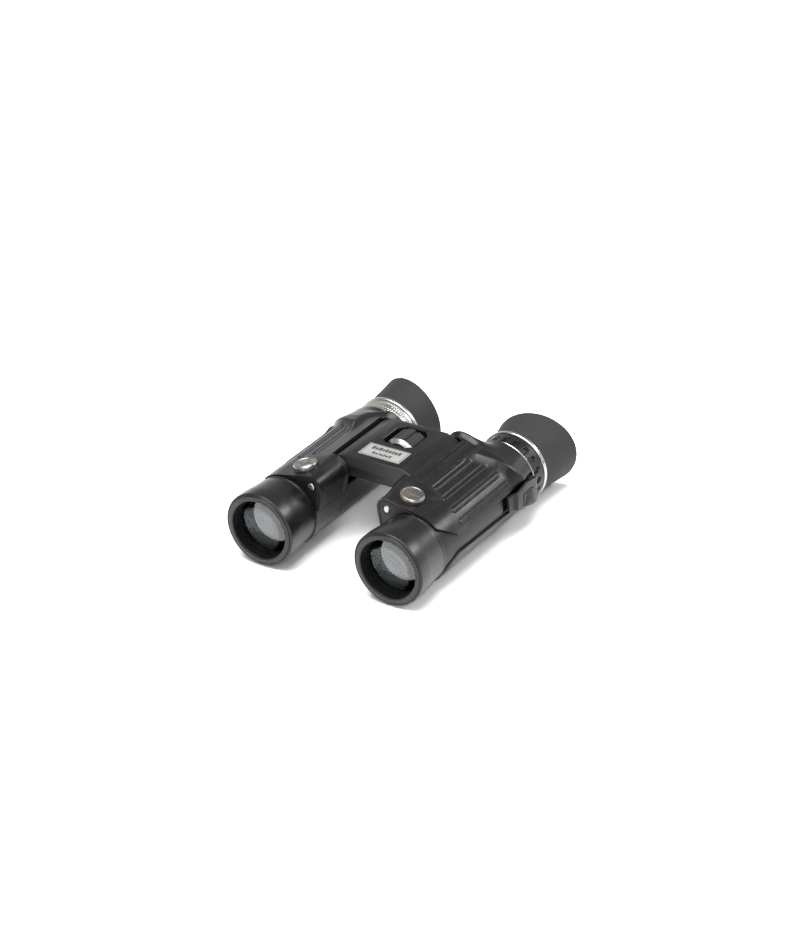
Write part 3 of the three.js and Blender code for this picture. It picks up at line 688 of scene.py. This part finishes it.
def eyepiece_band(place):
    """A satin band with two plain rows of fine straight knurling."""
    length = np.linspace(98.7, 107.0, 34)
    outline = [(14.7, 98.7), *[(16.35 + 0.65 * (y - 98.7) / 8.3, float(y)) for y in length], (14.7, 107.0)]

    def knurls(angle, radius, y):
        if radius < 16:
            return radius, y
        rows = float(smooth(y, 99.8, 100.1) * (1 - smooth(y, 102.3, 102.6))
                     + smooth(y, 103.4, 103.7) * (1 - smooth(y, 105.6, 105.9)))
        return radius - KNURL_DEPTH * rows * (0.5 + 0.5 * math.cos(angle * KNURLS)), y

    return turned("eyepiece_band", place, outline, 640, wave=knurls)


RIM_RADIUS = 19.2
RIM_SLANT = (4.9 / RIM_RADIUS, -2.0 / RIM_RADIUS)  # how the rim's plane leans, outwards and upwards
FLARE_START = 116
FLARE = 13.5


def eyecup(place):
    """A flared rubber cup whose rim lies in a slanted plane, longest on the outer side."""
    outline = rounded([
        (14.7, 109.7, 0.1), (16.8, 109.75, 0.3), (16.95, 112.5, 2), (17.4, 116, 3), (18.1, 122, 3),
        (18.8, 127, 3), (RIM_RADIUS, 129.5, 0.55), (18.1, 129.5, 0.55), (17.6, 127, 3), (16.9, 122, 3),
        (15.6, 117, 1), (13.2, 114, 0.6), (12.6, 113.6, 0.3), (12.6, 112.5, 0.1), (14.7, 112.5, 0.1),
    ], steps=5)

    def slanted(angle, radius, y):
        rim = RIM_RADIUS * (RIM_SLANT[0] * math.cos(angle) + RIM_SLANT[1] * math.sin(angle))
        return radius, y + rim * float(np.clip((y - FLARE_START) / FLARE, 0, 1))

    return turned("eyecup", place, outline, 160, wave=slanted)


def ocular_cell(place):
    outline = rounded([(12.1, 92, 0.1), (12.1, 111.4, 0.2), (11.2, 111.4, 0.2), (10.4, 110.9, 0.1),
                       (10.4, 98.8, 0), (9.6, 98.8, 0.1), (9.6, 97.8, 0.1), (10.4, 97.8, 0), (10.4, 92, 0.1)])
    return turned("ocular_cell", place, outline, 96)


STRAP_LUG = [(73.4, 4.8), (74, -2.5), (80, -4.2), (92.8, -7), (97.6, -7), (98.4, -4.2), (96.4, 5.6),
             (87, 7), (78.6, 4.7)]
BUTTON = [(83.8, -3.6, 0.6), (92.2, -5.2, 0.6), (92.2, 1.6, 0.8), (90.6, 2.5, 0.8), (83.8, 2.2, 0.6)]


def strap_lug(place):
    """A faceted plate held at its rear and foot, with a slot behind it that the strap runs through."""
    block = prism("strap_lug", place, STRAP_LUG, 8, 20, along="u")
    barrel = prism("barrel", place, circle(16.5, segments=96), 60, 97.4)
    rings = prism("rings", place, circle(18.0, segments=96), 97.4, 101)
    ramp = [(18.0, 60), (18.6, 78.2), (20.0, 78.9), (30, 78.9), (30, 60)]
    front = prism("front", place, ramp, -30, 30, along="v")
    rear = prism("rear", place, [(20.0, 95.0), (18.3, 99.5), (30, 99.5), (30, 95.0)], -30, 30, along="v")
    lug = bevelled(carve(block, barrel, rings, front, rear), 0.3)
    slot = [(10, 60), (16.9, 60), (17.3, 78), (18.9, 79.5), (18.9, 91), (10, 91)]
    strap_slot = prism("slot", place, slot, 0.5, 30, along="v")
    mouth = prism("mouth", place, [(10, 60), (16.9, 60), (17.3, 77), (10, 77)], -30, 1, along="v")
    pocket_outline = [(88 + (a - 88) * 1.07, -1.3 + (b + 1.3) * 1.1) for a, b in rounded(BUTTON)]
    pocket = prism("pocket", place, pocket_outline, 19.0, 30, along="u")
    return carve(lug, strap_slot, mouth, pocket)


def release_button(place):
    """A pad with four raised ridges."""
    pad = prism("release_button", place, rounded(BUTTON), 19.1, 20.2, along="u")
    bevelled(pad, 0.25, 3, 60)
    ridges = []
    for index in range(4):
        v = -3.6 + 1.45 * index
        front = 85.2 + 0.5 * index
        outline = rounded([(front, v, 0.2), (91.5, v, 0.2), (91.5, v + 0.6, 0.2), (front, v + 0.6, 0.2)])
        ridge = prism("ridge", place, outline, 19.9, 20.55, along="u")
        ridges.append(bevelled(ridge, 0.15, 2, 60))
    return joined("release_button", pad, *ridges)


# ---- Bridge pieces ----

BRIDGE_TOP = 24.1
BRIDGE_UNDERSIDE = 13.1
TOP_HALF_WIDTH = 14.8
HINGE_X = AXIS_SPACING / 2 + HINGE[0]
HINGE_HEIGHT = HINGE[1]


def bridge_outline():
    """The bridge from the front: a flat top, sloping wings and a knuckle at each end."""
    corner = Vector((TOP_HALF_WIDTH - HINGE_X, BRIDGE_TOP - HINGE_HEIGHT))
    top = math.atan2(corner.y, corner.x) - math.acos(KNUCKLE_RADIUS / corner.length)
    below = math.asin((BRIDGE_UNDERSIDE - HINGE_HEIGHT) / KNUCKLE_RADIUS)
    turns = np.linspace(-math.pi - below, top, 40)
    right = [(HINGE_X + KNUCKLE_RADIUS * math.cos(turn), HINGE_HEIGHT + KNUCKLE_RADIUS * math.sin(turn))
             for turn in turns]
    shoulder = rounded([(*right[-1], 0), (19.6, 22.3, 0.4), (TOP_HALF_WIDTH, BRIDGE_TOP, 0),
                        (0, BRIDGE_TOP, 0)])
    right += [(point.x, point.y) for point in shoulder[1:-1]]
    return right + [(-x, z) for x, z in reversed(right)]


WINDOW_MIDDLE = 70.8


def window_outline(grow=0):
    """The eight-sided focus window, larger all round by about the given growth."""
    corners = [(-5.2, 62), (5.2, 62), (8.3, 64.6), (8.3, 76.4), (5.4, 79.6), (-5.4, 79.6), (-8.3, 76.4),
               (-8.3, 64.6)]
    return [(x * (1 + grow / 8.3), WINDOW_MIDDLE + (y - WINDOW_MIDDLE) * (1 + grow / 8.8))
            for x, y in corners]


def rectangle(x, front, rear):
    return [(-x, front), (x, front), (x, rear), (-x, rear)]


def bridge_housing(place):
    body = prism("bridge_housing", place, bridge_outline(), BRIDGE_FRONT, BRIDGE_REAR)
    bevelled(body, 0.5, 3, 40)
    pocket = prism("pocket", place, [(-12.5, 5), (12.5, 5), (12.5, 22), (-12.5, 22)], 47, 79.5)
    window = prism("window", place, window_outline(), 21, 30, along="v")
    lip = tapered("lip", place, window_outline(0), window_outline(0.7), 23.6, 24.5)
    badge = prism("badge", place, rectangle(11.4, 47.2, 58.7), 23.55, 30, along="v")
    return carve(body, pocket, window, lip, badge)


def badge_plate(place):
    plate = prism("badge_plate", place, rectangle(11.1, 47.5, 58.4), 23.6, 24.25, along="v")
    return bevelled(plate, 0.15, 2)


BAR_GAP = 0.45
BAR_ROWS = [  # (middle, height, widths of the bars)
    (54.9, 2.5, (1.5, 1.2, 1.6, 0.9, 1.4, 1.4, 0.9, 1.5, 1.3)),
    (50.6, 2.0, (1.2, 1.2, 0.5, 1.2, 0.9, 1.2, 1.2)),
]
BORDER_LINES = [(-10.5, 10.5, 48.0, 48.2), (-10.5, 10.5, 57.7, 57.9), (-10.5, -10.3, 48.2, 57.7),
                (10.3, 10.5, 48.2, 57.7)]


def badge_marks(place):
    """Plain bars and a border line: a pattern with no letters in it."""
    bars = []
    for middle, height, widths in BAR_ROWS:
        x = -(sum(widths) + BAR_GAP * (len(widths) - 1)) / 2
        for index, width in enumerate(widths):
            top = height / 2 - 0.5 * (index % 2)
            outline = [(x, middle - height / 2), (x + width, middle - height / 2),
                       (x + width, middle + top), (x, middle + top)]
            bars.append(prism("bar", place, outline, 24.2, 24.32, along="v"))
            x += width + BAR_GAP
    for x0, x1, y0, y1 in BORDER_LINES:
        corners = [(x0, y0), (x1, y0), (x1, y1), (x0, y1)]
        bars.append(prism("line", place, corners, 24.2, 24.3, along="v"))
    return joined("badge_marks", *bars)


WHEEL_CENTRE = (0, 16.5)
WHEEL_RIBS = 10


def focus_wheel(place):
    outline = rounded([(1.8, 66, 0.1), (8.6, 66, 0.3), (8.9, 66.5, 0.3)]
                      + [(8.9, y, 0) for y in np.linspace(67, 76, 8)]
                      + [(8.9, 76.5, 0.3), (8.5, 77, 0.2), (1.8, 77, 0.1)])

    def wide_ribs(angle, radius, y):
        if radius < 8:
            return radius, y
        step = 2 * math.pi / WHEEL_RIBS
        across = abs((angle % step) / step - 0.5)
        return radius - 0.9 * float(smooth(across, 0.32, 0.4)), y

    return turned("focus_wheel", place, outline, 432, WHEEL_CENTRE, wide_ribs)


def focus_wheel_bezel(place):
    outline = rounded([(5, 63.9, 0.1), (7.1, 63.9, 0.15), (8.85, 65.55, 0.15), (8.85, 65.8, 0.1),
                       (5, 65.8, 0.1)])
    return turned("focus_wheel_bezel", place, outline, 96, WHEEL_CENTRE)


# ---- Assembly ----

def add(made, name, slot, body, nodes=None, **options):
    """Places a piece that stands for the CAD node of its own name, or for the nodes given."""
    made.name = name
    place_piece(made, slot, body, [name] if nodes is None else nodes, **options)
    return made


def dress_barrel(side):
    """All of a barrel's pieces but the ring that only this side has."""
    place = BARRELS[side]
    barrel = f"{side}_barrel"
    ocular = "left_ocular" if side == "left" else barrel
    pieces = [
        (objective_hood(place), "objective_hood", "black_metal", barrel),
        (objective_retainer(place), "objective_retainer", "dark_plastic", barrel),
        (lens("objective_lens", place, 14.0, 6.0, 10.5, 2.0, 1.2), "objective_lens", "coated_glass", barrel),
        (barrel_housing(place), "barrel_housing", "dark_plastic", barrel),
        (top_cover(place), "top_cover", "black_armour", barrel),
        (bottom_cover(place), "bottom_cover", "black_armour", barrel),
        (hinge_cap(place), "hinge_cap", "bright_silver", barrel),
        (medallion(place), "medallion", "satin_silver", barrel),
        (front_trim_ring(place), "front_trim_ring", "bright_silver", barrel),
        (rear_trim_ring(place), "rear_trim_ring", "bright_silver", barrel),
        (eyecup(place), "eyecup", "black_rubber", f"{side}_eyecup"),
        (ocular_cell(place), "ocular_cell", "black_metal", ocular),
        (lens("eye_lens", place, 10.1, 105.5, 110.8, 0.8, 1.0), "eye_lens", "coated_glass", ocular),
        (lens("field_lens", place, 10.1, 93, 97, 1.2, 0.2), "field_lens", "coated_glass", ocular),
        (strap_lug(place), "strap_lug", "black_armour", barrel),
        (release_button(place), "release_button", "dark_plastic", f"{side}_release_button"),
    ]
    other_finish = {
        "medallion": ANTIQUE,
        "objective_retainer": LINING,
        "strap_lug": FINISHES["dark_plastic"],
    }
    for made, name, slot, body in pieces:
        sharp = COVER_SHARP if name.endswith("cover") else SHARP
        add(made, f"{side}_{name}", slot, body, sharp=sharp, material=other_finish.get(name))
    add(hood_lining(place), f"{side}_hood_lining", "dark_plastic", barrel, nodes=[], material=LINING)


def dress_bridge():
    add(bridge_housing(BRIDGE), "bridge_housing", "black_armour", "bridge")
    add(badge_plate(BRIDGE), "badge_plate", "satin_silver", "bridge", material=PLATE)
    add(badge_marks(BRIDGE), "badge_marks", "satin_silver", "bridge", nodes=[], material=INK)
    add(focus_wheel(BRIDGE), "focus_wheel", "black_rubber", "focus_wheel")
    add(focus_wheel_bezel(BRIDGE), "focus_wheel_bezel", "bright_silver", "focus_wheel")


def refinish_cad_nodes():
    """The CAD nodes that stay visible get the same procedural finishes as the new pieces."""
    slots = {part["node"]: part["material_slot"] for part in frame["record"]["subparts"]}
    for name, made in frame["nodes"].items():
        made.data.materials.clear()
        made.data.materials.append(FINISHES[slots[name]])


# ---- Stage ----

VIEW_ANGLES = (34.39, 29.18, -2.53)  # azimuth, elevation and roll, in degrees
VIEW_MIDDLE = (93.84, -72.31, 102.19)  # a point that the middle of the picture shows
VIEW_DISTANCE = 1.1
FOCAL_LENGTH = 106.9


def camera():
    """The camera stands high on the front left, turned a little off level."""
    azimuth, elevation, roll = (math.radians(angle) for angle in VIEW_ANGLES)
    back = Vector((math.sin(azimuth) * math.cos(elevation), -math.cos(azimuth) * math.cos(elevation),
                   math.sin(elevation)))
    level = Vector((math.cos(azimuth), math.sin(azimuth), 0))
    upright = back.cross(level)
    right = level * math.cos(roll) + upright * math.sin(roll)
    up = upright * math.cos(roll) - level * math.sin(roll)
    data = bpy.data.cameras.new("camera")
    data.lens = FOCAL_LENGTH
    data.clip_end = 20
    made = bpy.data.objects.new("camera", data)
    centre = BRIDGE(*VIEW_MIDDLE) + back * VIEW_DISTANCE
    turn = Matrix((right, up, back)).transposed()
    made.matrix_world = Matrix.Translation(centre) @ turn.to_4x4()
    bpy.context.scene.collection.objects.link(made)
    bpy.context.scene.camera = made


LIGHTS = [  # (name, place in metres, size in metres, watts)
    ("overhead", (0.0, -0.25, 1.3), (1.1, 1.1), 45),
    ("front", (0.9, -1.1, 0.9), (0.8, 0.8), 9),
    ("right", (0.75, 0.85, 0.75), (0.35, 0.35), 7),
]
LIT_POINT = (0, 0, 0.02)
FLOOR_REACH = 6
FLOOR_GREY = 0.9


def area_light(name, spot, aim, size, power):
    data = bpy.data.lights.new(name, "AREA")
    data.shape = "RECTANGLE"
    data.size, data.size_y = size
    data.energy = power
    made = bpy.data.objects.new(name, data)
    made.location = spot
    made.rotation_euler = (Vector(aim) - Vector(spot)).to_track_quat("-Z", "Y").to_euler()
    bpy.context.scene.collection.objects.link(made)


def studio_world():
    """Pale paper low down all round, dimmer overhead."""
    world = bpy.data.worlds.new("studio")
    world.use_nodes = True
    tree = world.node_tree
    direction = node(tree, "ShaderNodeTexCoord").outputs["Generated"]
    split = node(tree, "ShaderNodeSeparateXYZ")
    tree.links.new(direction, split.inputs[0])
    strength = remap(tree, split.outputs["Z"], 1.1, 0.3, 0.1, 0.55, "SMOOTHSTEP")
    tree.links.new(strength, tree.nodes["Background"].inputs["Strength"])
    tree.nodes["Background"].inputs["Color"].default_value = (1, 1, 1, 1)
    return world


def stage():
    """A plain pale floor, three soft lights and the pale surroundings."""
    mesh = bpy.data.meshes.new("floor")
    corners = [(FLOOR_REACH * x, FLOOR_REACH * y, 0) for x, y in ((-1, -1), (1, -1), (1, 1), (-1, 1))]
    mesh.from_pydata(corners, [], [(0, 1, 2, 3)])
    floor = linked("floor", mesh)
    pale = bpy.data.materials.new("floor")
    pale.use_nodes = True
    principled = pale.node_tree.nodes["Principled BSDF"]
    principled.inputs["Base Color"].default_value = (FLOOR_GREY, FLOOR_GREY, FLOOR_GREY, 1)
    principled.inputs["Roughness"].default_value = 0.9
    mesh.materials.append(pale)
    bpy.context.scene.world = studio_world()
    for name, spot, size, power in LIGHTS:
        area_light(name, spot, LIT_POINT, size, power)
    bpy.context.scene.view_settings.view_transform = "Standard"


refinish_cad_nodes()
dress_bridge()
for side in BARRELS:
    dress_barrel(side)
add(diopter_ring(BARRELS["left"]), "left_diopter_ring", "dark_plastic", "left_diopter_ring")
add(eyepiece_band(BARRELS["right"]), "right_eyepiece_band", "satin_silver", "right_barrel")
camera()
stage()
